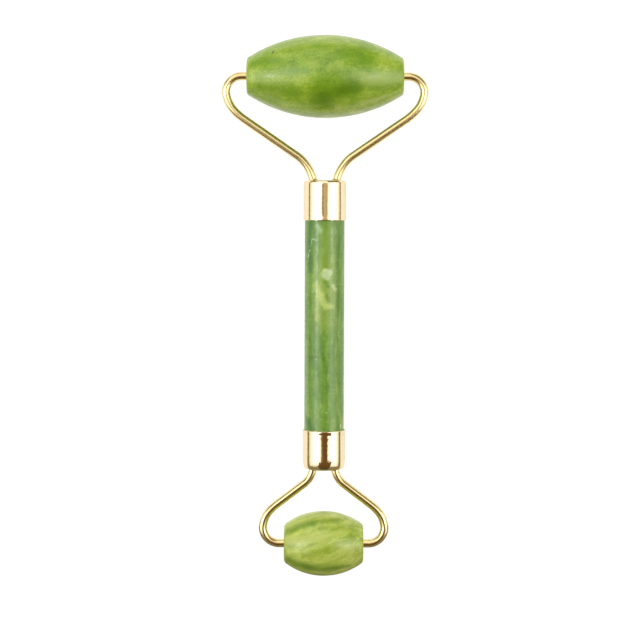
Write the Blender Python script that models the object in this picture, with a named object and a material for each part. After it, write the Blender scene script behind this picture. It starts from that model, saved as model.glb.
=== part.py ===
"""A jade face roller: a stone handle with a wire fork at each end and a stone barrel spinning in each fork.

It lies flat. +Y runs along the handle towards the large roller, X runs along both axles, and +Z is up.
The origin is the middle of the whole length, on the handle's axis. Names that end in _left are at -X.
"""

import math

import bmesh
import bpy
from mathutils import Vector

MM = 0.001

# Driving dimensions, in millimetres.
OVERALL_LENGTH = 145.0
WIRE_DIAMETER = 2.2
HANDLE_DIAMETER = 10.6
FERRULE_DIAMETER = 11.4
FERRULE_LENGTH = 10.6
FERRULE_WALL = 0.3
FERRULE_SHOULDER = 0.9
HANDLE_IN_FERRULE = 5.0
LARGE_RIM_Y = 23.2
SMALL_RIM_Y = -32.95
BORE_DEPTH = 6.8
BUSH_LENGTH = 6.0
BUSH_WALL = 0.65
BUSH_RECESS = 0.4
PIN_SHORT_OF_BUSH_END = 0.5
STUD_IN_HANDLE = 9.0

# Clearances, in millimetres: RUNNING is what a pin spins in, SOLDER and GLUE are filled joints.
RUNNING = 0.15
SOLDER = 0.2
GLUE = 0.2

# How finely the round shapes are faceted.
STONE_SIDES = 40
SLEEVE_SIDES = 24
WIRE_SIDES = 12
DEGREES_PER_WIRE_STEP = 12.0
DEGREES_PER_EDGE_STEP = 22.5
BARREL_STEPS = 12
SHARP_DEGREES = 35.0

WIRE_RADIUS = WIRE_DIAMETER / 2
HANDLE_RADIUS = HANDLE_DIAMETER / 2
FERRULE_RADIUS = FERRULE_DIAMETER / 2
BUSH_INNER_RADIUS = WIRE_RADIUS + RUNNING
BUSH_OUTER_RADIUS = BUSH_INNER_RADIUS + BUSH_WALL
BORE_RADIUS = BUSH_OUTER_RADIUS + GLUE
LEG_HOLE_RADIUS = WIRE_RADIUS + SOLDER

# Each roller: half its length, its largest radius, the radius of the arc that its side follows, and the
# rounding of its rims.
LARGE_STONE = {"half_length": 20.9, "radius": 11.0, "side_arc": 38.0, "rim": 1.1}
SMALL_STONE = {"half_length": 10.65, "radius": 8.7, "side_arc": 17.2, "rim": 1.3}
LARGE_AXLE_Y = OVERALL_LENGTH / 2 - LARGE_STONE["radius"]
SMALL_AXLE_Y = -(OVERALL_LENGTH / 2 - SMALL_STONE["radius"])

# Each fork arm: how far its leg stands from the handle's axis, how far below the ferrule's closed end its
# first bend starts and that bend's radius, the slope of its straight run, the bends of its elbow as
# (radius, degrees turned) from the straight run up, and the radius of the last bend, into the pin.
LARGE_ARM = {
    "leg_x": 2.95,
    "leg_straight": 2.05,
    "leg_bend": 10.5,
    "slope": 34.4,
    "elbow": ((16.3, 13.0), (8.5, 32.0)),
    "pin_bend": 4.15,
}
SMALL_ARM = {
    "leg_x": 2.9,
    "leg_straight": 0.75,
    "leg_bend": 6.1,
    "slope": 37.2,
    "elbow": ((12.6, 12.0), (7.3, 33.0)),
    "pin_bend": 4.35,
}


def clear_scene():
    for item in list(bpy.data.objects):
        bpy.data.objects.remove(item)


def material(name, colour, roughness, metallic):
    made = bpy.data.materials.new(name)
    made.use_nodes = True
    shader = made.node_tree.nodes["Principled BSDF"]
    shader.inputs["Base Color"].default_value = (*colour, 1.0)
    shader.inputs["Roughness"].default_value = roughness
    shader.inputs["Metallic"].default_value = metallic
    return made


def handle_jade():
    return material("handle_jade", (0.13, 0.33, 0.09), 0.25, 0.0)


def roller_jade(name):
    return material(name, (0.30, 0.47, 0.06), 0.22, 0.0)


def gold(name):
    return material(name, (0.87, 0.70, 0.42), 0.15, 1.0)


def brass(name):
    return material(name, (0.72, 0.53, 0.22), 0.35, 1.0)


def arc(centre, radius, start_deg, end_deg, step_deg):
    """Points on an arc in a plane, from start_deg to end_deg, both ends included."""
    steps = max(1, math.ceil(abs(end_deg - start_deg) / step_deg - 1e-9))
    points = []
    for step in range(steps + 1):
        angle = math.radians(start_deg + (end_deg - start_deg) * step / steps)
        points.append((centre[0] + radius * math.cos(angle), centre[1] + radius * math.sin(angle)))
    return points


def finish_mesh(name, shape, look, origin):
    """Turns a bmesh in millimetres into a named object whose origin is at the given point."""
    bmesh.ops.recalc_face_normals(shape, faces=shape.faces)
    for vertex in shape.verts:
        vertex.co = (vertex.co - Vector(origin)) * MM
    mesh = bpy.data.meshes.new(name)
    shape.to_mesh(mesh)
    shape.free()
    mesh.shade_smooth()
    mesh.set_sharp_from_angle(angle=math.radians(SHARP_DEGREES))
    made = bpy.data.objects.new(name, mesh)
    made.location = Vector(origin) * MM
    bpy.context.scene.collection.objects.link(made)
    if look:
        made.data.materials.append(look)
    return made


def turned(name, profile, centre, axis, sides, look):
    """A closed solid of revolution. The profile is (along the axis, radius) points from the centre point."""
    shape = bmesh.new()
    along = Vector(axis)
    across = Vector((0.0, 0.0, 1.0))
    sideways = along.cross(across)
    rings = []
    for distance, radius in profile:
        middle = Vector(centre) + along * distance
        if radius == 0:
            rings.append([shape.verts.new(middle)])
            continue
        ring = []
        for side in range(sides):
            angle = math.tau * (side + 0.5) / sides
            outward = across * math.cos(angle) + sideways * math.sin(angle)
            ring.append(shape.verts.new(middle + outward * radius))
        rings.append(ring)
    if len(rings[0]) > 1:
        rings.append(rings[0])
    for first, second in zip(rings, rings[1:]):
        skin(shape, first, second)
    return finish_mesh(name, shape, look, centre)


def skin(shape, first, second):
    """Faces between two rings of the same number of points, either of which may be a single point."""
    count = max(len(first), len(second))
    for here in range(count):
        there = (here + 1) % count
        corners = [first[here % len(first)], first[there % len(first)]]
        corners += [second[there % len(second)], second[here % len(second)]]
        shape.faces.new(list(dict.fromkeys(corners)))


def barrel_profile(stone):
    """A barrel with a blind bore in each end, from the bottom of one bore round to the other's."""
    half = stone["half_length"]
    rim = stone["rim"]
    middle = stone["radius"] - stone["side_arc"]
    # The rim's arc touches both the flat end and the side's arc.
    rim_x = half - rim
    rim_r = middle + math.sqrt((stone["side_arc"] - rim) ** 2 - rim_x**2)
    meets = math.degrees(math.atan2(rim_r - middle, rim_x))
    side = arc((0.0, middle), stone["side_arc"], meets, 180.0 - meets, (180.0 - 2 * meets) / BARREL_STEPS)
    right_rim = arc((rim_x, rim_r), rim, 0.0, meets, DEGREES_PER_EDGE_STEP)
    left_rim = arc((-rim_x, rim_r), rim, 180.0 - meets, 180.0, DEGREES_PER_EDGE_STEP)
    bore_end = half - BORE_DEPTH
    right_bore = [(bore_end, 0), (bore_end, BORE_RADIUS), (half, BORE_RADIUS)]
    left_bore = [(-half, BORE_RADIUS), (-bore_end, BORE_RADIUS), (-bore_end, 0)]
    return right_bore + right_rim + side[1:-1] + left_rim + left_bore


def make_roller(end, stone, axle_y):
    """A barrel and the two bushes in its ends. All three spin about the axle."""
    centre = (0.0, axle_y, 0.0)
    along = (1.0, 0.0, 0.0)
    jade = roller_jade(f"{end}_jade")
    turned(f"{end}_roller_stone", barrel_profile(stone), centre, along, STONE_SIDES, jade)
    outer_end = stone["half_length"] - BUSH_RECESS
    inner_end = outer_end - BUSH_LENGTH
    for side, sign in (("left", -1), ("right", 1)):
        ends = sorted((sign * inner_end, sign * outer_end))
        sleeve = [(ends[0], BUSH_INNER_RADIUS), (ends[0], BUSH_OUTER_RADIUS)]
        sleeve += [(ends[1], BUSH_OUTER_RADIUS), (ends[1], BUSH_INNER_RADIUS)]
        name = f"{end}_bush_{side}"
        turned(name, sleeve, centre, along, SLEEVE_SIDES, brass(name))


def turn_and_walk(place, heading, radius, turn):
    """The points of one bend, and where and which way it ends. A positive turn is anticlockwise."""
    side = math.copysign(90.0, turn)
    centre = (
        place[0] + radius * math.cos(math.radians(heading + side)),
        place[1] + radius * math.sin(math.radians(heading + side)),
    )
    points = arc(centre, radius, heading - side, heading - side + turn, DEGREES_PER_WIRE_STEP)
    return points, points[-1], heading + turn


def arm_route(arm, leg_end, ferrule_end, axle, pin_end):
    """The wire's centre line on the +X side, for a fork that points towards +Y.

    leg_end, ferrule_end and axle are distances from the origin along +Y. pin_end is the pin's x.
    """
    bend_start = (arm["leg_x"], ferrule_end - arm["leg_straight"])
    leg_bend, place, heading = turn_and_walk(bend_start, 90.0, arm["leg_bend"], arm["slope"] - 90.0)
    turned_already = sum(turn for _, turn in arm["elbow"])
    last_bend = (arm["pin_bend"], 180.0 - arm["slope"] - turned_already)
    elbow = []
    corner = (0.0, 0.0)
    for radius, turn in (*arm["elbow"], last_bend):
        bend, corner, heading = turn_and_walk(corner, heading, radius, turn)
        elbow += bend[1:]
    # The straight run is as long as it takes for the elbow to end on the axle.
    rise = axle - corner[1] - place[1]
    run = rise / math.tan(math.radians(arm["slope"]))
    start = (place[0] + run, place[1] + rise)
    elbow = [(start[0] + x, start[1] + y) for x, y in elbow]
    return [(arm["leg_x"], leg_end)] + leg_bend + [start] + elbow + [(pin_end, axle)]


def wire(name, route, look, origin):
    """A round wire along a route in the XY plane, with flat ends."""
    shape = bmesh.new()
    points = [Vector((x, y, 0.0)) for x, y in route]
    rings = []
    for index, point in enumerate(points):
        back = (point - points[index - 1]).normalized() if index else None
        ahead = (points[index + 1] - point).normalized() if index + 1 < len(points) else None
        direction = ((back or ahead) + (ahead or back)).normalized()
        mitre = 1 / direction.dot(back or ahead)
        outward = Vector((direction.y, -direction.x, 0.0))
        ring = []
        for side in range(WIRE_SIDES):
            angle = math.tau * side / WIRE_SIDES
            offset = outward * math.cos(angle) * mitre + Vector((0.0, 0.0, math.sin(angle)))
            ring.append(shape.verts.new(point + offset * WIRE_RADIUS))
        rings.append(ring)
    for first, second in zip(rings, rings[1:]):
        skin(shape, first, second)
    shape.faces.new(rings[0])
    shape.faces.new(rings[-1])
    return finish_mesh(name, shape, look, origin)


def make_fork(end, direction, arm, stone, leg_end, ferrule_end, axle_y):
    """The two arms of one fork. direction is +1 for the fork that points to +Y."""
    pin_end = stone["half_length"] - BUSH_RECESS - BUSH_LENGTH + PIN_SHORT_OF_BUSH_END
    route = arm_route(arm, direction * leg_end, direction * ferrule_end, direction * axle_y, pin_end)
    for side, sign in (("left", -1), ("right", 1)):
        name = f"{end}_arm_{side}"
        mirrored = [(sign * x, direction * y) for x, y in route]
        wire(name, mirrored, gold(name), (sign * arm["leg_x"], leg_end, 0.0))


def make_handle():
    """The jade rod, with a blind bore for a stud in each end."""
    top = LARGE_RIM_Y + HANDLE_IN_FERRULE
    bottom = SMALL_RIM_Y - HANDLE_IN_FERRULE
    bore = WIRE_RADIUS + GLUE
    depth = STUD_IN_HANDLE + GLUE
    profile = [(bottom + depth, 0), (bottom + depth, bore), (bottom, bore), (bottom, HANDLE_RADIUS)]
    profile += [(top, HANDLE_RADIUS), (top, bore), (top - depth, bore), (top - depth, 0)]
    turned("handle_stone", profile, (0.0, 0.0, 0.0), (0.0, 1.0, 0.0), STONE_SIDES, handle_jade())


def cup_profile(rim, closed, direction):
    """A drawn cup. Its flat end and its shoulder are outside, and its cavity has a rounded corner too."""
    inner_radius = FERRULE_RADIUS - FERRULE_WALL
    inner_corner = FERRULE_SHOULDER - FERRULE_WALL
    shoulder_y = closed - direction * FERRULE_SHOULDER
    shoulder_r = FERRULE_RADIUS - FERRULE_SHOULDER
    outer = arc((0.0, shoulder_r), FERRULE_SHOULDER, 0.0, 90.0, DEGREES_PER_EDGE_STEP)
    inner = arc((0.0, shoulder_r), inner_corner, 90.0, 0.0, DEGREES_PER_EDGE_STEP)
    profile = [(closed, 0)] + [(shoulder_y + direction * x, r) for x, r in outer]
    profile += [(rim, FERRULE_RADIUS), (rim, inner_radius)]
    profile += [(shoulder_y + direction * x, r) for x, r in inner]
    return profile + [(closed - direction * FERRULE_WALL, 0)]


def cutter(name, radius, place, length):
    """A round cutter along Y that isn't part of the object."""
    ends = [(-length / 2, 0), (-length / 2, radius), (length / 2, radius), (length / 2, 0)]
    made = turned(name, ends, place, (0.0, 1.0, 0.0), SLEEVE_SIDES, None)
    made.hide_render = True
    made.display_type = "WIRE"
    return made


def drill(target, tool):
    cut = target.modifiers.new(tool.name, "BOOLEAN")
    cut.operation = "DIFFERENCE"
    cut.solver = "EXACT"
    cut.object = tool


def make_anchorage(end, direction, rim, arm):
    """The ferrule, the plug inside it that holds the fork's legs, and the stud that holds the plug."""
    along = (0.0, 1.0, 0.0)
    closed = rim + direction * FERRULE_LENGTH
    handle_end = rim + direction * HANDLE_IN_FERRULE
    plug_ends = (handle_end + direction * GLUE, closed - direction * (FERRULE_WALL + GLUE))
    plug_middle = (0.0, sum(plug_ends) / 2, 0.0)
    plug_length = abs(plug_ends[1] - plug_ends[0])

    cup = cup_profile(rim, closed, direction)
    ferrule = turned(f"{end}_ferrule", cup, (0.0, 0.0, 0.0), along, STONE_SIDES, gold(f"{end}_ferrule"))
    plug_radius = FERRULE_RADIUS - FERRULE_WALL - GLUE
    chamfer = FERRULE_SHOULDER - FERRULE_WALL
    plain_end = -direction * plug_length / 2
    round_end = direction * plug_length / 2
    blank = [(plain_end, 0), (plain_end, plug_radius), (round_end - direction * chamfer, plug_radius)]
    blank += [(round_end, plug_radius - chamfer), (round_end, 0)]
    plug = turned(f"{end}_anchor_plug", blank, plug_middle, along, SLEEVE_SIDES, brass(f"{end}_plug"))

    clear_through = 2 * FERRULE_LENGTH
    through_wall = 2 * FERRULE_SHOULDER
    for side, sign in (("left", -1), ("right", 1)):
        # Above the plug the leg already leans out a little, so the ferrule's hole is further out.
        lean = arm["leg_bend"] - math.sqrt(arm["leg_bend"] ** 2 - arm["leg_straight"] ** 2)
        mouth = (sign * (arm["leg_x"] + lean), closed, 0.0)
        drill(ferrule, cutter(f"{end}_mouth_{side}", LEG_HOLE_RADIUS, mouth, through_wall))
        socket = (sign * arm["leg_x"], plug_middle[1], 0.0)
        drill(plug, cutter(f"{end}_socket_{side}", LEG_HOLE_RADIUS, socket, clear_through))
    drill(plug, cutter(f"{end}_stud_hole", WIRE_RADIUS + GLUE, plug_middle, clear_through))

    stud_ends = sorted((handle_end - direction * STUD_IN_HANDLE, plug_ends[1]))
    stud_length = stud_ends[1] - stud_ends[0]
    rod = [(-stud_length / 2, 0), (-stud_length / 2, WIRE_RADIUS)]
    rod += [(stud_length / 2, WIRE_RADIUS), (stud_length / 2, 0)]
    turned(f"{end}_stud", rod, (0.0, sum(stud_ends) / 2, 0.0), along, WIRE_SIDES, brass(f"{end}_stud"))
    return plug_ends[0], closed


def main():
    clear_scene()
    make_handle()
    for end, direction, rim, arm, stone, axle_y in (
        ("large", 1, LARGE_RIM_Y, LARGE_ARM, LARGE_STONE, LARGE_AXLE_Y),
        ("small", -1, SMALL_RIM_Y, SMALL_ARM, SMALL_STONE, SMALL_AXLE_Y),
    ):
        leg_end, ferrule_end = make_anchorage(end, direction, rim, arm)
        make_fork(end, direction, arm, stone, leg_end, ferrule_end, axle_y)
        make_roller(end, stone, axle_y)


main()
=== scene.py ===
"""The looks of a jade face roller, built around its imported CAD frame.

Sizes are in millimetres and colours are 0-255 sRGB. Both are converted where Blender takes them.
The roller lies on its back on a table: +Y runs towards the large roller, X along both axles, +Z is up.
"""

import math
from collections import namedtuple

import bmesh
import bpy
from mathutils import Matrix, Vector, noise


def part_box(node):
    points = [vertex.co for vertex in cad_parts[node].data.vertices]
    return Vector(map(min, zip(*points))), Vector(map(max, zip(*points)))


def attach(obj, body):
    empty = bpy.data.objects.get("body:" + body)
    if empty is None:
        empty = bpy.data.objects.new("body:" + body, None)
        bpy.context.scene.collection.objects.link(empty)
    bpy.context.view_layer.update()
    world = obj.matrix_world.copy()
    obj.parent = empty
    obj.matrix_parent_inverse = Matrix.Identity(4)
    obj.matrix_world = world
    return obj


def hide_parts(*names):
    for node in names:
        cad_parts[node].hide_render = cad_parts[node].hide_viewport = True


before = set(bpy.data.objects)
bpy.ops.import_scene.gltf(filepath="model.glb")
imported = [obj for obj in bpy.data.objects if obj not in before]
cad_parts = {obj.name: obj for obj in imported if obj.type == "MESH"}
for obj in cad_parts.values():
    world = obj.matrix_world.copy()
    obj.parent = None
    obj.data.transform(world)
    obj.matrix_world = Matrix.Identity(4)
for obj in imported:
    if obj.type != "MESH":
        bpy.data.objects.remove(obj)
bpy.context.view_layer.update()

MM = 0.001
ORIGIN = (0.0, 0.0, 0.0)
ALONG_X = (1.0, 0.0, 0.0)
ALONG_Y = (0.0, 1.0, 0.0)

# The CAD's round stones and cups are polygons with flats across the axes, so they are a little narrower.
CAD_SIDES = 40
ROUNDNESS = 1 / math.cos(math.pi / CAD_SIDES)

# How finely the shapes are made.
ROUND_SIDES = 128
WIRE_SIDES = 40
DEGREES_PER_WIRE_STEP = 2.0
DEGREES_PER_EDGE_STEP = 9.0
RINGS_PER_MM = 1.5
SHARP_DEGREES = 30.0
# Keeps a whole number of steps whole in spite of rounding.
STEP_TOLERANCE = 1e-9

# What the CAD's boxes don't tell: how the stones, cups, bushes and wires are shaped.
RIM_ROUNDING = {"large": 1.1, "small": 1.3}
PIN_DEPTH = 5.9
BORE_RADIUS = 2.1
BORE_DEPTH = 6.8
BORE_CHAMFER = 0.18
SIDE_ARC = {"large": 38.0, "small": 17.2}
STUD_BORE_RADIUS = 1.3
STUD_BORE_DEPTH = 9.2
HANDLE_EDGE = 0.3
FERRULE_WALL = 0.3
# Each cup's shoulder is a quarter of an oval: its size along the cup and across it. A squareness under 1
# makes it start more gently than an ellipse, and turn more sharply towards the closed end.
SHOULDERS = {"large": (0.9, 0.6), "small": (2.9, 0.9)}
SHOULDER_SQUARENESS = 0.75
FERRULE_FLARE = 0.1
FLARE_LENGTH = 0.7
BUSH_INNER_RADIUS = 1.25
BUSH_EDGE = 0.12
WIRE_RADIUS = 1.1
WIRE_END_CHAMFER = 0.15
LEG_HOLE_RADIUS = 1.3
BRAZE_WIDTH = 0.42
BRAZE_HEIGHT = 0.5
BRAZE_DEPTH = 0.3
# The braze dips a little into the wire, and keeps as much clear of the hole in the cup.
BRAZE_FIT = 0.02

# Each fork arm: how far its leg stands from the handle's axis, how far below the ferrule's closed end its
# first bend starts and that bend's radius, the slope of its straight run, the bends of its elbow as
# (radius, degrees turned), and the radius of the last bend, into the pin.
ARMS = {
    "large": {
        "leg_x": 2.95,
        "leg_straight": 2.05,
        "leg_bend": 10.5,
        "slope": 34.4,
        "elbow": ((16.3, 13.0), (8.5, 32.0)),
        "pin_bend": 4.15,
    },
    "small": {
        "leg_x": 2.9,
        "leg_straight": 0.75,
        "leg_bend": 6.1,
        "slope": 37.2,
        "elbow": ((12.6, 12.0), (7.3, 33.0)),
        "pin_bend": 4.35,
    },
}
ENDS = {"large": 1, "small": -1}
SIDES = {"left": -1, "right": 1}
# The brass pieces inside the ferrules keep their CAD shapes.
HIDDEN_BRASS = [f"{end}_{part}" for part in ("anchor_plug", "stud") for end in ENDS]

# Handmade unevenness of a surface: how far it moves in or out, and over what distance.
STONE_WOBBLE = (0.035, 6.0)
CUP_WOBBLE = (0.012, 3.0)
NO_WOBBLE = (0.0, 1.0)


def cad_box(node):
    """A CAD node's lowest and highest corners, in millimetres."""
    low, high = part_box(node)
    return low / MM, high / MM


# --- Shapes ---------------------------------------------------------------------------------------------


def arc(centre, radius, start_deg, end_deg, step_deg=DEGREES_PER_EDGE_STEP):
    """Points on an arc in a plane, from start_deg to end_deg, both ends included."""
    steps = max(1, math.ceil(abs(end_deg - start_deg) / step_deg - STEP_TOLERANCE))
    points = []
    for step in range(steps + 1):
        angle = math.radians(start_deg + (end_deg - start_deg) * step / steps)
        points.append((centre[0] + radius * math.cos(angle), centre[1] + radius * math.sin(angle)))
    return points


def straight(start, end):
    """Points between two profile points, close enough together to carry the wobble. The ends are left out."""
    length = math.dist(start, end)
    steps = max(1, round(length * RINGS_PER_MM))
    return [
        (start[0] + (end[0] - start[0]) * step / steps, start[1] + (end[1] - start[1]) * step / steps)
        for step in range(1, steps)
    ]


def finish_mesh(name, shape, origin):
    """Turns a bmesh in millimetres into a named, smooth-shaded object whose origin is at the given point."""
    bmesh.ops.recalc_face_normals(shape, faces=shape.faces)
    for vertex in shape.verts:
        vertex.co = (vertex.co - Vector(origin)) * MM
    mesh = bpy.data.meshes.new(name)
    shape.to_mesh(mesh)
    shape.free()
    mesh.shade_smooth()
    mesh.set_sharp_from_angle(angle=math.radians(SHARP_DEGREES))
    made = bpy.data.objects.new(name, mesh)
    made.location = Vector(origin) * MM
    bpy.context.scene.collection.objects.link(made)
    return made


def skin(shape, first, second):
    """Faces between two rings of the same number of points, either of which may be a single point."""
    count = max(len(first), len(second))
    for here in range(count):
        there = (here + 1) % count
        corners = [first[here % len(first)], first[there % len(first)]]
        corners += [second[there % len(second)], second[here % len(second)]]
        shape.faces.new(list(dict.fromkeys(corners)))


def turned(name, profile, centre, axis, sides=ROUND_SIDES, wobble=NO_WOBBLE):
    """A closed solid of revolution about an axis in the XY plane.

    The profile is (along the axis, radius) points from the centre point.
    """
    shape = bmesh.new()
    along = Vector(axis).normalized()
    up = Vector((0.0, 0.0, 1.0))
    sideways = along.cross(up)
    depth, size = wobble
    rings = []
    for distance, radius in profile:
        middle = Vector(centre) + along * distance
        if radius == 0:
            rings.append([shape.verts.new(middle)])
            continue
        ring = []
        for side in range(sides):
            angle = math.tau * side / sides
            outward = up * math.cos(angle) + sideways * math.sin(angle)
            point = middle + outward * radius
            ring.append(shape.verts.new(point + outward * depth * noise.noise(point / size)))
        rings.append(ring)
    if len(rings[0]) > 1:
        rings.append(rings[0])
    for first, second in zip(rings, rings[1:]):
        skin(shape, first, second)
    return finish_mesh(name, shape, centre)


def turn_and_walk(place, heading, radius, turn):
    """The points of one bend, and where and which way it ends. A positive turn is anticlockwise."""
    side = math.copysign(90.0, turn)
    centre = (
        place[0] + radius * math.cos(math.radians(heading + side)),
        place[1] + radius * math.sin(math.radians(heading + side)),
    )
    points = arc(centre, radius, heading - side, heading - side + turn, DEGREES_PER_WIRE_STEP)
    return points, points[-1], heading + turn


def arm_route(arm, leg_end, ferrule_end, axle, pin_end):
    """The wire's centre line on the +X side, for a fork that points towards +Y.

    leg_end, ferrule_end and axle are distances from the origin along +Y. pin_end is the pin's x.
    """
    bend_start = (arm["leg_x"], ferrule_end - arm["leg_straight"])
    leg_bend, place, heading = turn_and_walk(bend_start, 90.0, arm["leg_bend"], arm["slope"] - 90.0)
    turned_already = sum(turn for _, turn in arm["elbow"])
    last_bend = (arm["pin_bend"], 180.0 - arm["slope"] - turned_already)
    elbow = []
    corner = (0.0, 0.0)
    for radius, turn in (*arm["elbow"], last_bend):
        bend, corner, heading = turn_and_walk(corner, heading, radius, turn)
        elbow += bend[1:]
    # The straight run is as long as it takes for the elbow to end on the axle.
    rise = axle - corner[1] - place[1]
    run = rise / math.tan(math.radians(arm["slope"]))
    start = (place[0] + run, place[1] + rise)
    elbow = [(start[0] + x, start[1] + y) for x, y in elbow]
    return [(arm["leg_x"], leg_end)] + leg_bend + [start] + elbow + [(pin_end, axle)]


def chamfered_ends(route):
    """The route's points with the wire's radius at each, with a small chamfer at both ends."""
    points = [Vector((x, y, 0.0)) for x, y in route]
    ends = []
    for tip, inner in ((points[0], points[1]), (points[-1], points[-2])):
        inward = (inner - tip).normalized()
        chamfer_end = tip + inward * WIRE_END_CHAMFER
        ends.append([(tip, WIRE_RADIUS - WIRE_END_CHAMFER), (chamfer_end, WIRE_RADIUS)])
    middle = [(point, WIRE_RADIUS) for point in points[1:-1]]
    return ends[0] + middle + ends[1][::-1]


def wire_ring(shape, unbent, station, direction, length):
    """One ring of a wire's skin. Each point keeps its place before the wire was bent."""
    point, radius = station
    outward = Vector((direction.y, -direction.x, 0.0))
    ring = []
    for side in range(WIRE_SIDES):
        angle = math.tau * side / WIRE_SIDES
        across = radius * math.cos(angle)
        up = radius * math.sin(angle)
        vertex = shape.verts.new(point + outward * across + Vector((0.0, 0.0, up)))
        vertex[unbent] = (length, across, up)
        ring.append(vertex)
    return ring


def wire(name, route, origin):
    """A round wire along a route in the XY plane.

    Its "unbent" attribute is each point's place before the wire was bent, in millimetres, with the wire's
    length along X, so that drawing lines can follow the bends.
    """
    shape = bmesh.new()
    unbent = shape.verts.layers.float_vector.new("unbent")
    stations = chamfered_ends(route)
    points = [point for point, _ in stations]
    rings = []
    length = 0.0
    for index, station in enumerate(stations):
        behind = points[index] - points[max(index - 1, 0)]
        ahead = points[min(index + 1, len(points) - 1)] - points[index]
        length += behind.length
        direction = (behind.normalized() + ahead.normalized()).normalized()
        rings.append(wire_ring(shape, unbent, station, direction, length))
    for first, second in zip(rings, rings[1:]):
        skin(shape, first, second)
    shape.faces.new(rings[0])
    shape.faces.new(rings[-1])
    return finish_mesh(name, shape, origin)


def bored(target, places, radius, depth):
    """Cuts round holes along Y into a piece and keeps the result as its mesh."""
    tools = []
    for place in places:
        ends = [(-depth, 0), (-depth, radius), (depth, radius), (depth, 0)]
        tool = turned(f"{target.name}_cutter", ends, place, ALONG_Y, WIRE_SIDES)
        cut = target.modifiers.new(tool.name, "BOOLEAN")
        cut.operation = "DIFFERENCE"
        cut.solver = "EXACT"
        cut.object = tool
        tools.append(tool)
    evaluated = target.evaluated_get(bpy.context.evaluated_depsgraph_get())
    target.data = bpy.data.meshes.new_from_object(evaluated)
    target.modifiers.clear()
    target.data.set_sharp_from_angle(angle=math.radians(SHARP_DEGREES))
    for tool in tools:
        bpy.data.objects.remove(tool)


def barrel_radius(stone, x):
    """A barrel's radius at a distance from its middle."""
    return stone["radius"] - stone["side_arc"] + math.sqrt(stone["side_arc"] ** 2 - x**2)


def barrel_profile(stone):
    """A barrel with a blind bore in each end, from the bottom of one bore round to the other's."""
    half = stone["half_length"]
    rim = stone["rim"]
    middle = stone["radius"] - stone["side_arc"]
    # The rim's arc touches both the flat end and the side's arc.
    rim_x = half - rim
    rim_r = middle + math.sqrt((stone["side_arc"] - rim) ** 2 - rim_x**2)
    meets = math.degrees(math.atan2(rim_r - middle, rim_x))
    rings = 2 * half * RINGS_PER_MM
    side = arc((0.0, middle), stone["side_arc"], meets, 180.0 - meets, (180.0 - 2 * meets) / rings)
    right_rim = arc((rim_x, rim_r), rim, 0.0, meets)
    left_rim = arc((-rim_x, rim_r), rim, 180.0 - meets, 180.0)
    bore = [(half - BORE_DEPTH, 0), (half - BORE_DEPTH, BORE_RADIUS)]
    bore += [(half - BORE_CHAMFER, BORE_RADIUS), (half, BORE_RADIUS + BORE_CHAMFER)]
    left_bore = [(-x, r) for x, r in reversed(bore)]
    return bore + right_rim + side[1:-1] + left_rim + left_bore


def cup_profile(rim, closed, radius, shoulder):
    """A drawn cup with a soft shoulder, a rounded cavity corner, and a rim that flares a little."""
    direction = math.copysign(1.0, closed - rim)
    inner_radius = radius - FERRULE_WALL
    along, across = shoulder
    shoulder_y = closed - direction * along
    shoulder_r = radius - across
    quarter = [(x, r**SHOULDER_SQUARENESS) for x, r in arc((0.0, 0.0), 1.0, 0.0, 90.0)]
    outer = [(along * x, shoulder_r + across * r) for x, r in quarter]
    inner = [
        ((along - FERRULE_WALL) * x, shoulder_r + (across - FERRULE_WALL) * r)
        for x, r in reversed(quarter)
    ]
    lip = FERRULE_WALL / 2
    lip_middle = (rim + direction * lip, radius + FERRULE_FLARE - lip)
    rounded = [
        (lip_middle[0] - direction * x, lip_middle[1] + r)
        for x, r in arc((0.0, 0.0), lip, 90.0, -90.0, 2 * DEGREES_PER_EDGE_STEP)
    ]
    neck = rim + direction * FLARE_LENGTH
    profile = [(closed, 0)] + [(shoulder_y + direction * x, r) for x, r in outer]
    profile += straight((shoulder_y, radius), (neck, radius)) + [(neck, radius)]
    profile += rounded
    profile += [(neck, inner_radius)]
    profile += [(shoulder_y + direction * x, r) for x, r in inner]
    return profile + [(closed - direction * FERRULE_WALL, 0)]


# --- Materials ------------------------------------------------------------------------------------------


def linear(colour):
    """A 0-255 sRGB colour as the linear RGBA that a shader takes."""
    channels = []
    for value in colour:
        share = value / 255
        channels.append(share / 12.92 if share <= 0.04045 else ((share + 0.055) / 1.055) ** 2.4)
    return (*channels, 1.0)


# What smooth noise, which lies between 0 and 1, is on average.
NOISE_MEAN = 0.5


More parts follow.
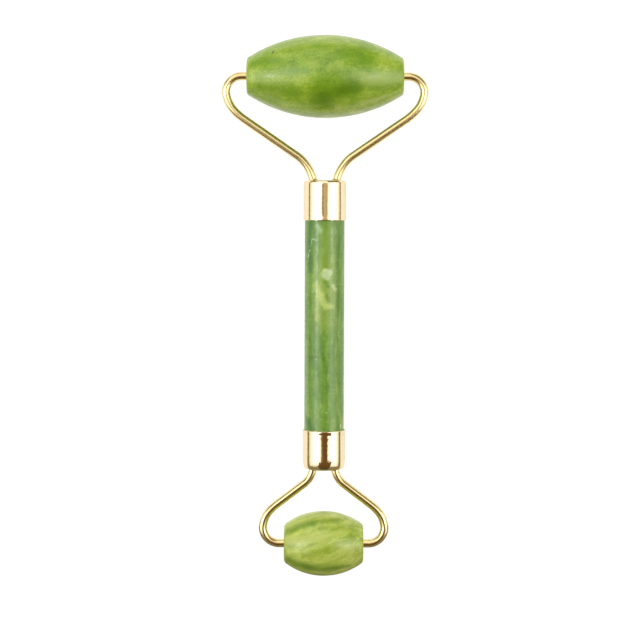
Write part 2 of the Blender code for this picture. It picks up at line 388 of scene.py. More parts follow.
class Graph:
    """A material's shader nodes. A value may be a number, vector or colour, or another node's output."""

    def __init__(self, name):
        self.material = bpy.data.materials.new(name)
        self.material.use_nodes = True
        self.nodes = self.material.node_tree.nodes
        self.links = self.material.node_tree.links
        self.shader = self.nodes["Principled BSDF"]

    def feed(self, socket, value):
        """Links a node's output to the socket, or sets the socket to a constant."""
        if isinstance(value, bpy.types.NodeSocket):
            self.links.new(value, socket)
        else:
            socket.default_value = value

    def surface(self, **values):
        """Sets the shader's own sockets. Underscores in the names stand for spaces."""
        for name, value in values.items():
            self.feed(self.shader.inputs[name.replace("_", " ")], value)

    def add(self, kind, values, output=0, **settings):
        """Makes a node with its settings, feeds its sockets by name or number, and returns one output."""
        node = self.nodes.new(kind)
        for setting, value in settings.items():
            setattr(node, setting, value)
        for socket, value in values.items():
            self.feed(node.inputs[socket], value)
        return node.outputs[output]

    def math(self, operation, *values):
        return self.add("ShaderNodeMath", dict(enumerate(values)), operation=operation)

    def vector(self, operation, *values, output=0):
        return self.add("ShaderNodeVectorMath", dict(enumerate(values)), output, operation=operation)

    def scaled(self, place, factor):
        return self.add("ShaderNodeVectorMath", {0: place, 3: factor}, operation="SCALE")

    def place(self):
        """The place in the piece's own space, in millimetres."""
        return self.scaled(self.add("ShaderNodeTexCoord", {}, "Object"), 1 / MM)

    def noise(self, place, size, detail=2.0, output=0, roughness=0.55):
        """Smooth noise whose lumps are about the given size in millimetres. Output 1 is a vector."""
        values = {"Vector": place, "Scale": 1 / size, "Detail": detail, "Roughness": roughness}
        return self.add("ShaderNodeTexNoise", values, output)

    def warped(self, place, size, amount):
        """The place, pushed about by smooth noise."""
        push = self.vector("SUBTRACT", self.noise(place, size, output=1), 3 * (NOISE_MEAN,))
        return self.vector("ADD", place, self.scaled(push, 2 * amount))

    def frayed(self, place, pushes):
        """The place, pushed about in turn by each (size, amount) of noise."""
        for size, amount in pushes:
            place = self.warped(place, size, amount)
        return place

    def swing(self, value, spread, middle):
        """Spreads noise by so many times, and moves its mean to a new middle."""
        return self.math("MULTIPLY_ADD", self.math("SUBTRACT", value, NOISE_MEAN), spread, middle)

    def stretched(self, place, stretch, turn_deg=0.0):
        """A place where noise is so many times longer along each axis, with X turned about Z first."""
        values = {"Vector": place, "Rotation": (0.0, 0.0, math.radians(turn_deg)), "Scale": stretch}
        return self.add("ShaderNodeMapping", values, vector_type="TEXTURE")

    def between(self, value, low, high, from_value=0.0, to_value=1.0):
        """Runs smoothly from from_value where value is low to to_value where it is high."""
        values = {0: value, 1: low, 2: high, 3: from_value, 4: to_value}
        return self.add("ShaderNodeMapRange", values, interpolation_type="SMOOTHSTEP")

    def mix(self, factor, first, second):
        """The first colour where factor is 0, running to the second where it is 1."""
        return self.add("ShaderNodeMix", {0: factor, 6: first, 7: second}, 2, data_type="RGBA")

    def ramp(self, value, stops):
        """A colour ramp through two or more (position, colour) stops."""
        node = self.nodes.new("ShaderNodeValToRGB")
        elements = node.color_ramp.elements
        for position, _ in stops[len(elements):]:
            elements.new(position)
        for element, (position, colour) in zip(elements, stops):
            element.position = position
            element.color = linear(colour)
        self.links.new(value, node.inputs[0])
        return node.outputs[0]

    def bump(self, height, depth, below=None):
        """A bump of the given depth in millimetres, on top of another bump if there is one."""
        values = {"Strength": 1.0, "Distance": depth * MM, "Height": height}
        if below is not None:
            values["Normal"] = below
        return self.add("ShaderNodeBump", values)


# A cloud, patch or hairline in a stone, or a painted highlight, reflection or shade on it:
# a colour, the two ends of its middle line as (x, y) seen from above, its radius about that line,
# how soft its edge is, and how strong it is.
Mark = namedtuple("Mark", "colour start end radius softness strength")
# Gives a mark that starts and ends at one point a line of some length.
MARK_NUDGE = Vector((0.001, 0.0, 0.0))


def from_mark(graph, place, start, end):
    """The distance of a place from the straight line between two points."""
    along = end - start
    offset = graph.vector("SUBTRACT", place, tuple(start))
    reach = graph.vector("DOT_PRODUCT", offset, tuple(along), output=1)
    share = graph.math("DIVIDE", reach, along.length_squared)
    inside = graph.math("MINIMUM", graph.math("MAXIMUM", share, 0.0), 1.0)
    nearest = graph.scaled(tuple(along), inside)
    return graph.vector("LENGTH", graph.vector("SUBTRACT", offset, nearest), output=1)


def with_marks(graph, place, colour, marks, height_at):
    """The stone's colour with its marks painted over it. height_at gives the surface's z over (x, y)."""
    for mark in marks:
        start, end = (Vector((x, y, height_at(x, y))) for x, y in (mark.start, mark.end))
        end += MARK_NUDGE
        distance = from_mark(graph, place, start, end)
        near = mark.radius + mark.softness
        far = max(0.0, mark.radius - mark.softness)
        share = graph.between(distance, far, near, mark.strength, 0.0)
        colour = graph.mix(share, colour, linear(mark.colour))
    return colour


# Each stone's four greens from its darkest to its palest, the size of its clouds, its streaks as (turn in
# degrees, length over width, size across), how much they count, how strongly it is mottled, how grainy it
# is, its roughness from the most to the least polished, and how much clear polish lies over it.
JADES = {
    "handle": {
        "greens": ((80, 118, 36), (99, 142, 43), (119, 158, 58), (152, 184, 90)),
        "cloud": 8.0,
        "streaks": (90.0, 6.0, 1.0),
        "streak_share": 0.5,
        "contrast": 1.5,
        "grain": 0.5,
        "gloss": (0.24, 0.34),
        "coat": 0.0,
    },
    "large": {
        "greens": ((100, 138, 14), (128, 163, 28), (151, 180, 52), (190, 206, 98)),
        "cloud": 7.0,
        "streaks": (12.0, 3.0, 1.5),
        "streak_share": 0.3,
        "contrast": 1.5,
        "grain": 0.8,
        "gloss": (0.28, 0.4),
        "coat": 0.22,
    },
    "small": {
        "greens": ((134, 161, 44), (165, 186, 70), (189, 206, 98), (212, 224, 130)),
        "cloud": 7.0,
        "streaks": (24.0, 7.0, 1.4),
        "streak_share": 0.7,
        "contrast": 1.4,
        "grain": 0.6,
        "gloss": (0.28, 0.4),
        "coat": 0.2,
    },
}
# Where on the ramp of tones the four greens stand.
GREEN_STOPS = (0.2, 0.42, 0.6, 0.85)

# What all three stones have in common. A fray is rounds of (size of the noise, how far it pushes). CRACKED,
# WORN and PITTED are the spans of noise over which cracks, wear and pits go from none to their most.
CLOUD_FRAY = ((3.0, 0.9), (0.8, 0.25))
STREAK_FRAY = ((5.0, 0.7),)
MARK_FRAY = ((1.6, 0.45), (0.6, 0.22))
CRACK_FRAY = ((4.0, 2.0),)
GRAIN_SIZE = 0.5
CRACK_SPACING = 9.0
CRACK_WIDTH = 0.012
CRACK_PATCH = 6.0
CRACKED = (0.56, 0.66)
CRACK_STRENGTH = 0.2
CRACK_COLOUR = (200, 216, 160)
POLISH_SIZE = 2.5
POLISH_DEPTH = 0.004
WORN = (0.3, 0.7)
PIT_SIZE = 0.3
PITTED = (0.7, 0.8)
PIT_DEPTH = 0.0015

MARKS = {
    "handle": [
        Mark((158, 180, 78), (0.0, 9.0), (0.0, -3.0), 2.8, 2.2, 0.5),
        Mark((136, 168, 58), (0.2, 21.0), (0.2, 11.0), 1.2, 1.4, 0.55),
        # Dark lines along the handle's left edge and near its right edge: painted shade, where less light
        # falls.
        Mark((44, 98, 44), (-4.0, 22.0), (-3.9, 10.0), 0.9, 1.0, 0.6),
        Mark((76, 124, 36), (3.7, 22.0), (3.6, -2.0), 0.5, 0.7, 0.5),
        # A pale streak down the upper handle, where the right softboxes mirror: a painted highlight.
        Mark((160, 184, 84), (2.1, 20.5), (2.2, 10.5), 0.4, 0.5, 0.55),
        Mark((118, 146, 34), (0.2, 13.5), (0.3, 10.8), 0.8, 1.0, 0.6),
        Mark((158, 190, 128), (-1.9, 21.6), (-1.2, 20.4), 0.7, 0.5, 0.8),
        Mark((136, 172, 98), (2.2, 21.0), (2.8, 20.2), 0.7, 0.6, 0.5),
        Mark((190, 210, 150), (0.3, 9.5), (1.3, 9.4), 0.9, 0.3, 0.95),
        Mark((184, 206, 148), (0.0, 8.7), (0.7, 8.2), 0.9, 0.35, 0.9),
        Mark((100, 146, 40), (0.1, 6.9), (0.9, 5.8), 0.6, 0.5, 0.7),
        Mark((200, 214, 148), (2.2, 5.8), (2.8, 4.8), 0.5, 0.35, 0.85),
        Mark((186, 204, 108), (-2.2, 5.8), (-0.8, 3.4), 0.8, 0.8, 0.75),
        Mark((190, 208, 116), (-1.3, 3.2), (0.4, 0.6), 0.9, 0.8, 0.75),
        Mark((184, 204, 108), (0.2, 0.6), (2.3, 0.3), 0.5, 0.6, 0.75),
        # A pale line down the handle's middle, where the left softboxes mirror: a painted highlight.
        Mark((180, 198, 100), (-1.9, 5.0), (-2.0, -3.0), 0.35, 0.6, 0.6),
        Mark((112, 144, 40), (0.6, 3.4), (1.0, 2.0), 0.5, 0.4, 0.7),
        Mark((154, 182, 84), (2.6, 4.4), (2.5, 1.6), 0.6, 0.6, 0.6),
        Mark((196, 224, 196), (-3.2, 18.4), (-4.4, 13.3), 0.12, 0.1, 0.8),
        Mark((196, 224, 196), (-3.2, 18.4), (-2.1, 17.8), 0.12, 0.1, 0.8),
        Mark((170, 200, 116), (-2.0, 6.9), (-3.2, 4.0), 0.16, 0.12, 0.7),
        # A pale line along the handle's left silhouette, lower down: a painted rim reflection.
        Mark((136, 170, 88), (-4.7, -9.0), (-4.7, -28.0), 0.6, 0.9, 0.6),
        # A dark line along the handle's right silhouette, lower down: painted shade.
        Mark((88, 130, 46), (4.7, -6.0), (4.7, -28.0), 0.6, 0.9, 0.65),
        Mark((92, 136, 44), (2.2, -10.0), (2.2, -29.0), 0.5, 0.9, 0.5),
        Mark((56, 104, 34), (-4.0, -13.2), (-1.8, -13.3), 0.3, 0.35, 0.7),
        Mark((164, 196, 122), (-2.6, -13.7), (-1.8, -13.5), 0.12, 0.1, 0.7),
        Mark((58, 110, 44), (-4.2, -30.5), (-3.2, -33.0), 0.9, 0.8, 0.7),
        Mark((206, 226, 190), (4.5, -31.4), (4.4, -32.2), 0.18, 0.12, 0.8),
        Mark((196, 216, 160), (0.5, -27.9), (0.6, -27.9), 0.16, 0.1, 0.8),
    ],
    "large": [
        Mark((86, 124, 6), (-1.5, -6.4), (6.8, -3.2), 2.6, 2.4, 0.65),
        Mark((108, 148, 22), (-2.2, -2.4), (4.6, -0.6), 1.2, 1.6, 0.5),
        Mark((80, 116, 4), (-0.6, -6.0), (1.4, -8.4), 1.3, 1.5, 0.5),
        Mark((84, 120, 6), (4.0, -4.4), (8.4, -3.4), 0.9, 1.2, 0.45),
        Mark((98, 138, 16), (-17.0, -3.2), (-7.6, -4.6), 1.2, 1.5, 0.6),
        Mark((100, 144, 20), (-19.0, 3.0), (-13.0, 3.7), 1.0, 1.1, 0.65),
        Mark((70, 108, 24), (-13.9, 5.6), (-13.8, 6.0), 0.35, 0.25, 0.85),
        Mark((100, 144, 22), (4.0, 5.4), (11.6, 3.6), 1.6, 1.4, 0.6),
        # A bluish cloud across the left half, where the left softboxes mirror: a painted reflection.
        Mark((104, 146, 62), (-11.6, 0.6), (-4.8, 0.4), 0.8, 1.2, 0.4),
        Mark((152, 176, 66), (-3.3, 2.4), (-2.8, 2.5), 0.9, 0.9, 0.6),
        Mark((154, 178, 70), (0.9, 1.2), (1.3, 2.0), 0.65, 0.6, 0.6),
        Mark((154, 178, 66), (3.4, 2.7), (3.9, 2.1), 0.75, 0.6, 0.6),
        Mark((84, 118, 20), (2.35, 3.0), (2.4, -2.4), 0.12, 0.14, 0.75),
        Mark((166, 186, 76), (9.6, -7.2), (15.4, -5.7), 0.55, 0.6, 0.75),
        # Pale patches at the right end: a paler tone of the stone with the right softboxes' reflection
        # painted into it.
        Mark((158, 180, 74), (11.0, -1.6), (18.2, -0.8), 1.5, 1.4, 0.6),
        Mark((176, 192, 90), (15.0, -3.6), (18.6, -2.7), 0.25, 0.3, 0.65),
        Mark((100, 136, 20), (11.5, -3.9), (17.6, -3.0), 0.4, 0.7, 0.45),
        Mark((136, 166, 60), (-15.4, -5.4), (-12.8, -6.0), 1.1, 0.9, 0.6),
        Mark((150, 174, 54), (-6.2, -6.2), (-5.4, -6.8), 0.7, 0.7, 0.6),
        Mark((140, 166, 60), (-3.4, -8.2), (-1.8, -8.4), 0.4, 0.4, 0.6),
        Mark((152, 178, 34), (-21.0, 3.0), (-21.0, -3.0), 1.2, 1.2, 0.7),
        Mark((156, 178, 34), (21.0, 3.0), (21.0, -4.0), 1.0, 1.2, 0.7),
    ],
    "small": [
        Mark((106, 140, 14), (-9.8, 3.8), (-3.0, 6.2), 1.0, 1.0, 0.8),
        Mark((114, 146, 18), (-3.0, 6.3), (3.6, 7.0), 0.8, 1.0, 0.7),
        Mark((130, 156, 30), (-0.8, 5.0), (8.4, 4.6), 0.6, 0.9, 0.6),
        Mark((184, 198, 92), (-9.4, 1.6), (-1.0, 2.8), 1.1, 1.2, 0.75),
        Mark((184, 198, 92), (-1.0, 2.8), (5.0, 4.0), 0.7, 0.9, 0.75),
        Mark((136, 160, 38), (-5.2, -2.1), (1.0, -0.4), 0.7, 0.8, 0.65),
        Mark((136, 160, 38), (1.0, -0.4), (7.8, 2.4), 0.7, 0.8, 0.65),
        Mark((192, 206, 104), (-4.6, -0.2), (-1.8, -0.1), 0.14, 0.12, 0.7),
        Mark((184, 198, 96), (0.6, -3.4), (7.6, -0.2), 0.8, 0.8, 0.75),
        Mark((96, 134, 12), (-9.4, -3.8), (-4.0, -5.5), 1.2, 1.3, 0.8),
        Mark((96, 134, 12), (-4.0, -5.5), (3.4, -5.6), 1.2, 1.3, 0.8),
        Mark((110, 142, 28), (4.8, -5.4), (6.6, -5.2), 0.6, 0.6, 0.75),
        Mark((176, 192, 92), (-4.4, -4.0), (-2.6, -4.2), 0.7, 0.7, 0.6),
    ],
}


def healed_cracks(graph, place, colour):
    """Pale healed cracks over the stone's colour, only here and there."""
    edges = {"Vector": graph.frayed(place, CRACK_FRAY), "Scale": 1 / CRACK_SPACING}
    crack = graph.add("ShaderNodeTexVoronoi", edges, "Distance", feature="DISTANCE_TO_EDGE")
    thin = graph.between(crack, 0.0, CRACK_WIDTH, 1.0, 0.0)
    here = graph.between(graph.noise(place, CRACK_PATCH), *CRACKED)
    share = graph.math("MULTIPLY", graph.math("MULTIPLY", thin, here), CRACK_STRENGTH)
    return graph.mix(share, colour, linear(CRACK_COLOUR))


def jade(name, height_at):
    """Polished translucent stone: clouds, streaks, fine grain, healed cracks and a few marks.

    Some marks are the stone's own, and some are painted highlights, reflections and shade.
    """
    look = JADES[name]
    graph = Graph(f"{name}_jade")
    place = graph.place()
    clouds = graph.noise(graph.frayed(place, CLOUD_FRAY), look["cloud"], detail=5.0, roughness=0.62)
    turn, length, across = look["streaks"]
    drawn_out = graph.stretched(graph.frayed(place, STREAK_FRAY), (length, 1.0, 1.0), turn)
    streaks = graph.noise(drawn_out, across, detail=3.0)
    tone = graph.add("ShaderNodeMix", {0: look["streak_share"], 2: clouds, 3: streaks})
    grain = graph.noise(place, GRAIN_SIZE, detail=3.0, roughness=0.7)
    tone = graph.swing(tone, look["contrast"], NOISE_MEAN)
    tone = graph.swing(grain, look["grain"], tone)
    colour = graph.ramp(tone, list(zip(GREEN_STOPS, look["greens"])))
    colour = with_marks(graph, graph.frayed(place, MARK_FRAY), colour, MARKS[name], height_at)

    wear = graph.noise(place, POLISH_SIZE, detail=4.0)
    pits = graph.between(graph.noise(place, PIT_SIZE, detail=1.0), *PITTED, 0.0, -1.0)
    polish = graph.bump(graph.noise(place, POLISH_SIZE, detail=1.0), POLISH_DEPTH)
    graph.surface(
        Base_Color=healed_cracks(graph, place, colour),
        Roughness=graph.between(wear, *WORN, *look["gloss"]),
        IOR=1.54,
        Coat_Weight=look["coat"],
        Coat_Roughness=0.14,
        Subsurface_Weight=0.2,
        Subsurface_Radius=(0.6, 1.0, 0.35),
        Subsurface_Scale=1.2 * MM,
        Normal=graph.bump(pits, PIT_DEPTH, polish),
    )
    return graph.material


PALE_GOLD = (239, 222, 182)
YELLOW_GOLD = (238, 220, 164)
GOLD_TARNISH = (210, 180, 116)
BRASS = (206, 168, 92)
BRASS_TARNISH = (142, 104, 52)

# What all the metals have in common: the size of each kind of mark, the span of noise over which it goes from
# none to its most, how deep it is, and how much rougher full tarnish is.
LINE_SIZE = 0.12
LINED = (0.35, 0.75)
LINE_DEPTH = 0.0009
RIPPLE_SIZE = 1.6
SMUDGE_SIZE = 2.5
SMUDGE_FRAY = ((4.0, 1.5),)
SMUDGED = (0.45, 0.75)
SPOT_SIZE = 0.5
SPOTTED = (0.66, 0.8)
TARNISH_ROUGHNESS = 0.12

# A metal's clean and tarnished colours, how many times longer its marks are along each axis, its roughness
# from the smoothest to the most marked, how far it is tarnished, its ripples' stretch and depth, and the
# attribute that holds its place, where that isn't the place in the piece's own space.
Metal = namedtuple(
    "Metal",
    "bright tarnish stretch gloss tarnished ripple_stretch ripple_depth attribute",
    defaults=(0.4, (1.0, 1.0, 1.0), 0.006, None),
)
METALS = {
    "bush_brass": Metal(BRASS, BRASS_TARNISH, (1.0, 0.16, 0.16), (0.25, 0.4)),
    "ferrule_gold": Metal(
        PALE_GOLD, GOLD_TARNISH, (1.0, 0.12, 1.0), (0.07, 0.14), 0.15, (1.0, 0.4, 1.0), 0.016
    ),
    "wire_gold": Metal(
        YELLOW_GOLD, GOLD_TARNISH, (8.0, 1.0, 1.0), (0.14, 0.26), 0.3, attribute="unbent"
    ),
    "braze_gold": Metal(YELLOW_GOLD, GOLD_TARNISH, (1.0, 1.0, 1.0), (0.18, 0.32), 0.8),
}


def metal(name):
    """Plated or plain metal with fine marks that run one way, smudges and spots of tarnish."""
    look = METALS[name]
    graph = Graph(name)
    if look.attribute:
        where = graph.add("ShaderNodeAttribute", {}, "Vector", attribute_name=look.attribute)
    else:
        where = graph.place()
    lines = graph.noise(graph.stretched(where, look.stretch), LINE_SIZE, detail=3.0)
    smudges = graph.noise(graph.frayed(where, SMUDGE_FRAY), SMUDGE_SIZE, detail=4.0)
    spots = graph.noise(where, SPOT_SIZE)
    dirty = graph.math("MULTIPLY", graph.between(smudges, *SMUDGED), look.tarnished)
    dirty = graph.math("ADD", dirty, graph.between(spots, *SPOTTED, 0.0, look.tarnished))
    rough = graph.between(lines, *LINED, *look.gloss)
    rough = graph.math("MULTIPLY_ADD", dirty, TARNISH_ROUGHNESS, rough)
    waves = graph.noise(graph.stretched(where, look.ripple_stretch), RIPPLE_SIZE, detail=1.0)
    ripples = graph.bump(waves, look.ripple_depth)
    graph.surface(
        Base_Color=graph.mix(dirty, linear(look.bright), linear(look.tarnish)),
        Metallic=1.0,
        Roughness=rough,
        Normal=graph.bump(lines, LINE_DEPTH, ripples),
    )
    return graph.material


METAL_LOOKS = {name: metal(name) for name in METALS}


def paper(name, greys, glow):
    """Matt paper with a faint fibre, between two greys, that glows a little."""
    graph = Graph(name)
    fibre = graph.noise(graph.place(), FIBRE_SIZE, detail=5.0)
    dark, pale = (linear((grey, grey, grey)) for grey in greys)
    graph.surface(
        Base_Color=graph.mix(fibre, dark, pale),
        Roughness=graph.between(fibre, *WORN, *PAPER_ROUGHNESS),
        Specular_IOR_Level=0.1,
        Emission_Color=linear((255, 255, 255)),
        Emission_Strength=glow,
    )
    return graph.material


# --- The pieces -----------------------------------------------------------------------------------------


def keep(piece, body, slot, *nodes):
    """Rides a piece on its CAD body, in place of its CAD nodes. The slot is not used."""
    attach(piece, body)
    if nodes:
        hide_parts(*nodes)


def make_handle():
    """The jade rod, drilled blind at both ends for the studs."""
    low, high = cad_box("handle_stone")
    radius = (high.x - low.x) / 2 * ROUNDNESS
    edge = HANDLE_EDGE
    bore = STUD_BORE_RADIUS
    profile = [(low.y + STUD_BORE_DEPTH, 0), (low.y + STUD_BORE_DEPTH, bore), (low.y, bore)]
    profile += [(low.y, radius - edge), (low.y + edge, radius)]
    profile += straight((low.y + edge, radius), (high.y - edge, radius))
    profile += [(high.y - edge, radius), (high.y, radius - edge)]
    profile += [(high.y, bore), (high.y - STUD_BORE_DEPTH, bore), (high.y - STUD_BORE_DEPTH, 0)]
    rod = turned("handle_rod", profile, ORIGIN, ALONG_Y, wobble=STONE_WOBBLE)

    def height_at(x, _):
        return math.sqrt(max(0.0, radius**2 - x**2))

    rod.data.materials.append(jade("handle", height_at))
    keep(rod, "handle", "handle_jade", "handle_stone")


def make_bush(end, side):
    """A bush in one of a stone's end bores."""
    node = f"{end}_bush_{side}"
    low, high = cad_box(node)
    outer = (high.y - low.y) / 2
    inner = BUSH_INNER_RADIUS
    half = (high.x - low.x) / 2
    ring = [(-half, inner), (-half, outer - BUSH_EDGE), (BUSH_EDGE - half, outer)]
    ring += [(half - BUSH_EDGE, outer), (half, outer - BUSH_EDGE), (half, inner)]
    sleeve = turned(f"{node}_sleeve", ring, (low + high) / 2, ALONG_X, WIRE_SIDES)
    sleeve.data.materials.append(METAL_LOOKS["bush_brass"])
    keep(sleeve, f"{end}_roller", "bush_brass", node)


def make_roller(end):
    """A stone barrel and its two bushes."""
    low, high = cad_box(f"{end}_roller_stone")
    centre = (low + high) / 2
    stone = {
        "half_length": (high.x - low.x) / 2,
        "radius": (high.y - low.y) / 2 * ROUNDNESS,
        "side_arc": SIDE_ARC[end],
        "rim": RIM_ROUNDING[end],
    }
    barrel = turned(f"{end}_roller_barrel", barrel_profile(stone), centre, ALONG_X, wobble=STONE_WOBBLE)

    def height_at(x, y):
        return math.sqrt(max(0.0, barrel_radius(stone, x) ** 2 - y**2))

    barrel.data.materials.append(jade(end, height_at))
    keep(barrel, f"{end}_roller", f"{end}_roller_jade", f"{end}_roller_stone")
    for side in SIDES:
        make_bush(end, side)


def leg_mouth(end, closed):
    """Where a fork's right leg leaves the cup's closed end, and how many radians it leans out there."""
    arm = ARMS[end]
    lean = arm["leg_bend"] - math.sqrt(arm["leg_bend"] ** 2 - arm["leg_straight"] ** 2)
    return (arm["leg_x"] + lean, closed, 0.0), math.asin(arm["leg_straight"] / arm["leg_bend"])


def make_anchorage(end):
    """The ferrule, with the braze that holds each leg in it."""
    low, high = cad_box(f"{end}_ferrule")
    rim, closed = (low.y, high.y) if ENDS[end] > 0 else (high.y, low.y)
    radius = (high.x - low.x) / 2 * ROUNDNESS
    profile = cup_profile(rim, closed, radius, SHOULDERS[end])
    cup = turned(f"{end}_ferrule_cup", profile, ORIGIN, ALONG_Y, wobble=CUP_WOBBLE)
    mouth, lean = leg_mouth(end, closed)
    mouths = {side: (sign * mouth[0], mouth[1], mouth[2]) for side, sign in SIDES.items()}
    bored(cup, mouths.values(), LEG_HOLE_RADIUS, 2 * FERRULE_WALL)
    cup.data.materials.append(METAL_LOOKS["ferrule_gold"])
    keep(cup, "handle", "ferrule_gold", f"{end}_ferrule")
    for side, sign in SIDES.items():
        along_leg = (sign * math.sin(lean), ENDS[end] * math.cos(lean), 0.0)
        make_braze(f"{end}_braze_{side}", mouths[side], along_leg)


def make_braze(name, mouth, along_leg):
    """The fillet of braze round a leg where it leaves the cup, which goes down into the leg's hole."""
    inside = WIRE_RADIUS - BRAZE_FIT
    hole = LEG_HOLE_RADIUS - BRAZE_FIT
    foot = WIRE_RADIUS + BRAZE_WIDTH
    profile = [(-BRAZE_DEPTH, inside), (-BRAZE_DEPTH, hole), (0.0, hole)]
    profile += [
        (BRAZE_HEIGHT - height, foot - out)
        for height, out in arc((0.0, 0.0), BRAZE_WIDTH, 0.0, 90.0)
    ]
    profile += [(BRAZE_HEIGHT, inside)]
    braze = turned(name, profile, mouth, along_leg, WIRE_SIDES)
    braze.data.materials.append(METAL_LOOKS["braze_gold"])
    keep(braze, "handle", "wire_gold")


def make_fork(end):
    """The two arms of one fork, each a bent wire from the ferrule to the pin in the stone."""
    direction = ENDS[end]
    stone_low, stone_high = cad_box(f"{end}_roller_stone")
    axle = direction * (stone_low.y + stone_high.y) / 2
    ferrule_low, ferrule_high = cad_box(f"{end}_ferrule")
    ferrule_end = max(direction * ferrule_low.y, direction * ferrule_high.y)
    low, high = cad_box(f"{end}_arm_right")
    leg_end = min(direction * low.y, direction * high.y)
    pin_end = stone_high.x - PIN_DEPTH
    route = arm_route(ARMS[end], leg_end, ferrule_end, axle, pin_end)
    for side, sign in SIDES.items():
        node = f"{end}_arm_{side}"
        mirrored = [(sign * x, direction * y) for x, y in route]
        arm = wire(f"{node}_wire", mirrored, (sign * ARMS[end]["leg_x"], direction * leg_end, 0.0))
        arm.data.materials.append(METAL_LOOKS["wire_gold"])
        keep(arm, "handle", "wire_gold", node)


# --- The studio -----------------------------------------------------------------------------------------

# Softboxes stand left and right of the object, one inside the other, so that their light fades outwards, and
# one behind it. Each is (the way it stands from the object, the two angles from the zenith that it spans,
# half the angle that it spans sideways, radiance), with all angles in degrees.
SOFTBOXES = {
    "left_outer": (180.0, (14.0, 87.0), 27.0, 0.84),
    "left_middle": (180.0, (19.0, 74.0), 20.0, 0.7),
    "left_inner": (180.0, (27.0, 62.0), 14.0, 0.6),
    "left_core": (180.0, (42.0, 50.0), 4.5, 10.0),
    "right_outer": (0.0, (14.0, 87.0), 27.0, 0.92),
    "right_middle": (0.0, (19.0, 74.0), 20.0, 0.65),
    "right_inner": (0.0, (27.0, 62.0), 14.0, 0.6),
    "right_core": (0.0, (37.0, 45.0), 4.5, 6.0),
    "back": (106.0, (8.0, 80.0), 25.0, 1.0),
}
LIGHT_DISTANCE = 2000.0
LIGHT_COLOUR = (250, 251, 255)
ROOM_COLOUR = (146, 138, 116)
# What stands over the object and shows in the metal. Each is (its outline, in degrees from the zenith along X
# and Y as seen from the object, how much it glows, the two colours of its cloth).
CARDS = {
    "stand": (
        (
            (-8, -3), (8, -3), (32, -7), (26, -9), (20, -10.3), (17, -12.5), (44, -17),
            (36, -30), (-32, -30), (-27, -17), (0, -12.5), (-9, -10.3), (-17, -9), (-21, -7),
        ),
        0.42,
        ((140, 102, 58), (118, 84, 46)),
    ),
    "wall": (
        ((36, -30), (30, -62), (-26, -62), (-32, -30)),
        0.4,
        ((114, 98, 62), (96, 82, 48)),
    ),
    "ceiling": (
        ((-2, -3), (-6, 2.5), (-10, 6), (-10, 14), (14, 14), (14, 6), (11, 2.5), (8, -3)),
        0.85,
        ((202, 184, 160), (186, 168, 144)),
    ),
}
CARD_HEIGHT = 620.0
FOLD_SIZE = 60.0
CLOTH_ROUGHNESS = 0.9
FIBRE_SIZE = 3.0
PAPER_ROUGHNESS = (0.85, 0.95)
STUDIO_SIDES = 96
FLOOR_SIZE = 3000.0
FLOOR_SQUARES = 8
FLOOR_GAP = 0.03
FLOOR_GREYS = (98, 104)
FLOOR_GLOW = 0.93
BACKDROP_GREY = 236
SHEET_RADIUS = 125.0
SHEET_GREYS = (226, 232)
SHEET_GLOW = 0.34
SHEET_DROP = 0.02
CAMERA_PLACE = (-1.17, 22.92, 510.0)
CAMERA_TARGET = (-1.17, -3.48, 0.0)
CAMERA_ROLL_DEG = 0.2
CAMERA_VIEW_DEG = 19.08


def put(made, right, up, back, place):
    """Puts a light or camera at a place in millimetres. It looks the opposite way to back."""
    made.matrix_world = Matrix((right, up, back)).transposed().to_4x4()
    made.location = place * MM
    bpy.context.scene.collection.objects.link(made)


def make_softbox(name, azimuth_deg, angles, half_span_deg, radiance):
    """A rectangle of light that faces the object and isn't seen by the camera."""
    azimuth = math.radians(azimuth_deg)
    zenith = math.radians(sum(angles) / 2)
    lamp = bpy.data.lights.new(name, "AREA")
    lamp.shape = "RECTANGLE"
    distance = LIGHT_DISTANCE * MM
    lamp.size = 2 * distance * math.tan(math.radians(angles[1] - angles[0]) / 2)
    lamp.size_y = 2 * distance * math.tan(math.radians(half_span_deg))
    lamp.color = linear(LIGHT_COLOUR)[:3]
    lamp.energy = radiance * math.pi * lamp.size * lamp.size_y
    downwards = Vector(
        (math.cos(azimuth) * math.cos(zenith), math.sin(azimuth) * math.cos(zenith), -math.sin(zenith))
    )
    sideways = Vector((-math.sin(azimuth), math.cos(azimuth), 0.0))
    back = downwards.cross(sideways)
    made = bpy.data.objects.new(name, lamp)
    put(made, downwards, sideways, back, back * LIGHT_DISTANCE)
    made.visible_camera = False


def plain_object(name, shape, look):
    """A studio object from a bmesh in millimetres."""
    for vertex in shape.verts:
        vertex.co *= MM
    mesh = bpy.data.meshes.new(name)
    shape.to_mesh(mesh)
    shape.free()
    made = bpy.data.objects.new(name, mesh)
    made.data.materials.append(look)
    bpy.context.scene.collection.objects.link(made)
    return made


def make_card(name, outline, glow, colours):
    """A cloth card overhead, which shows in the metal and isn't seen by the camera."""
    shape = bmesh.new()
    corners = []
    for x_deg, y_deg in outline:
        x = CARD_HEIGHT * math.tan(math.radians(x_deg))
        y = CARD_HEIGHT * math.tan(math.radians(y_deg))
        corners.append(shape.verts.new((x, y, CARD_HEIGHT)))
    shape.faces.new(corners)
    graph = Graph(f"{name}_cloth")
    folds = graph.noise(graph.place(), FOLD_SIZE, detail=3.0)
    cloth = graph.mix(folds, linear(colours[0]), linear(colours[1]))
    graph.surface(Base_Color=cloth, Roughness=CLOTH_ROUGHNESS, Emission_Color=cloth, Emission_Strength=glow)
    plain_object(name, shape, graph.material).visible_camera = False


def make_world():
    """A dim warm room."""
    world = bpy.data.worlds.new("room")
    world.use_nodes = True
    world.node_tree.nodes["Background"].inputs["Color"].default_value = linear(ROOM_COLOUR)
    bpy.context.scene.world = world


def seen_by_camera_alone(made):
    """Keeps a studio object out of the light, the shadows and the reflections."""
    for ray in ("diffuse", "glossy", "transmission", "volume_scatter", "shadow"):
        setattr(made, f"visible_{ray}", False)


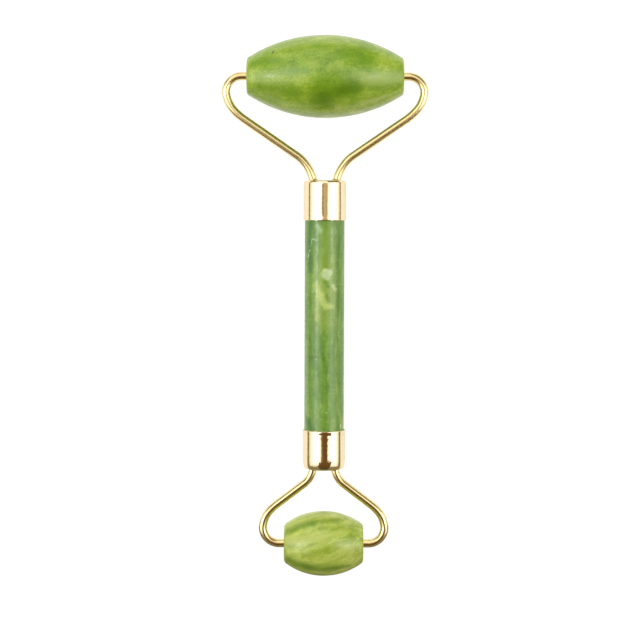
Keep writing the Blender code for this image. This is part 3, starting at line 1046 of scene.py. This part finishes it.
def floor_plane():
    """A point under the object and the floor's normal: the floor touches both stones from below."""
    stones = {}
    for end in ENDS:
        low, high = cad_box(f"{end}_roller_stone")
        stones[end] = ((low + high) / 2, (high.y - low.y) / 2 * ROUNDNESS)
    (large, large_radius), (small, small_radius) = stones["large"], stones["small"]
    tilt = math.asin((large_radius - small_radius) / (large.y - small.y))
    normal = Vector((0.0, math.sin(tilt), math.cos(tilt)))
    return large - normal * (large_radius + FLOOR_GAP), normal


def make_floor():
    """The floor that the camera sees, and under the object the pale sheet that lights and mirrors in it.

    The sheet isn't seen by the camera, and it ends a little way off, as a table does.
    """
    point, normal = floor_plane()
    tilt = (-math.asin(normal.y), 0.0, 0.0)
    shape = bmesh.new()
    bmesh.ops.create_grid(
        shape, x_segments=FLOOR_SQUARES, y_segments=FLOOR_SQUARES, size=FLOOR_SIZE / 2
    )
    floor = plain_object("floor", shape, paper("floor_paper", FLOOR_GREYS, FLOOR_GLOW))
    floor.location = point * MM
    floor.rotation_euler = tilt
    seen_by_camera_alone(floor)
    shape = bmesh.new()
    bmesh.ops.create_circle(shape, cap_ends=True, segments=STUDIO_SIDES, radius=SHEET_RADIUS)
    sheet = plain_object("floor_sheet", shape, paper("sheet_paper", SHEET_GREYS, SHEET_GLOW))
    sheet.location = (point - normal * SHEET_DROP) * MM
    sheet.rotation_euler = tilt
    sheet.visible_camera = False


def make_backdrop():
    """A plain pale wall all round, seen by the camera alone, so that the room behind stays unlit."""
    shape = bmesh.new()
    radius = FLOOR_SIZE / 2
    bmesh.ops.create_cone(
        shape, cap_ends=False, segments=STUDIO_SIDES, radius1=radius, radius2=radius, depth=FLOOR_SIZE
    )
    graph = Graph("backdrop_paper")
    graph.surface(
        Base_Color=linear((0, 0, 0)),
        Emission_Color=linear((BACKDROP_GREY, BACKDROP_GREY, BACKDROP_GREY)),
        Emission_Strength=1.0,
    )
    seen_by_camera_alone(plain_object("backdrop", shape, graph.material))


def make_camera():
    """The camera over the table, with +Y nearly up in its view."""
    lens = bpy.data.cameras.new("camera")
    lens.angle = math.radians(CAMERA_VIEW_DEG)
    made = bpy.data.objects.new("camera", lens)
    place = Vector(CAMERA_PLACE)
    roll = math.radians(CAMERA_ROLL_DEG)
    back = (place - Vector(CAMERA_TARGET)).normalized()
    right = Vector((-math.sin(roll), math.cos(roll), 0.0)).cross(back).normalized()
    put(made, right, back.cross(right), back, place)
    bpy.context.scene.camera = made


def make_studio():
    """The room, its lights, what stands over the object, the floor and the camera."""
    make_world()
    for name, softbox in SOFTBOXES.items():
        make_softbox(f"softbox_{name}", *softbox)
    for name, card in CARDS.items():
        make_card(name, *card)
    make_floor()
    make_backdrop()
    make_camera()
    bpy.context.scene.view_settings.view_transform = "Standard"


make_handle()
for end in ENDS:
    make_roller(end)
    make_anchorage(end)
    make_fork(end)
for node in HIDDEN_BRASS:
    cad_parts[node].material_slots[0].material = METAL_LOOKS["bush_brass"]
make_studio()
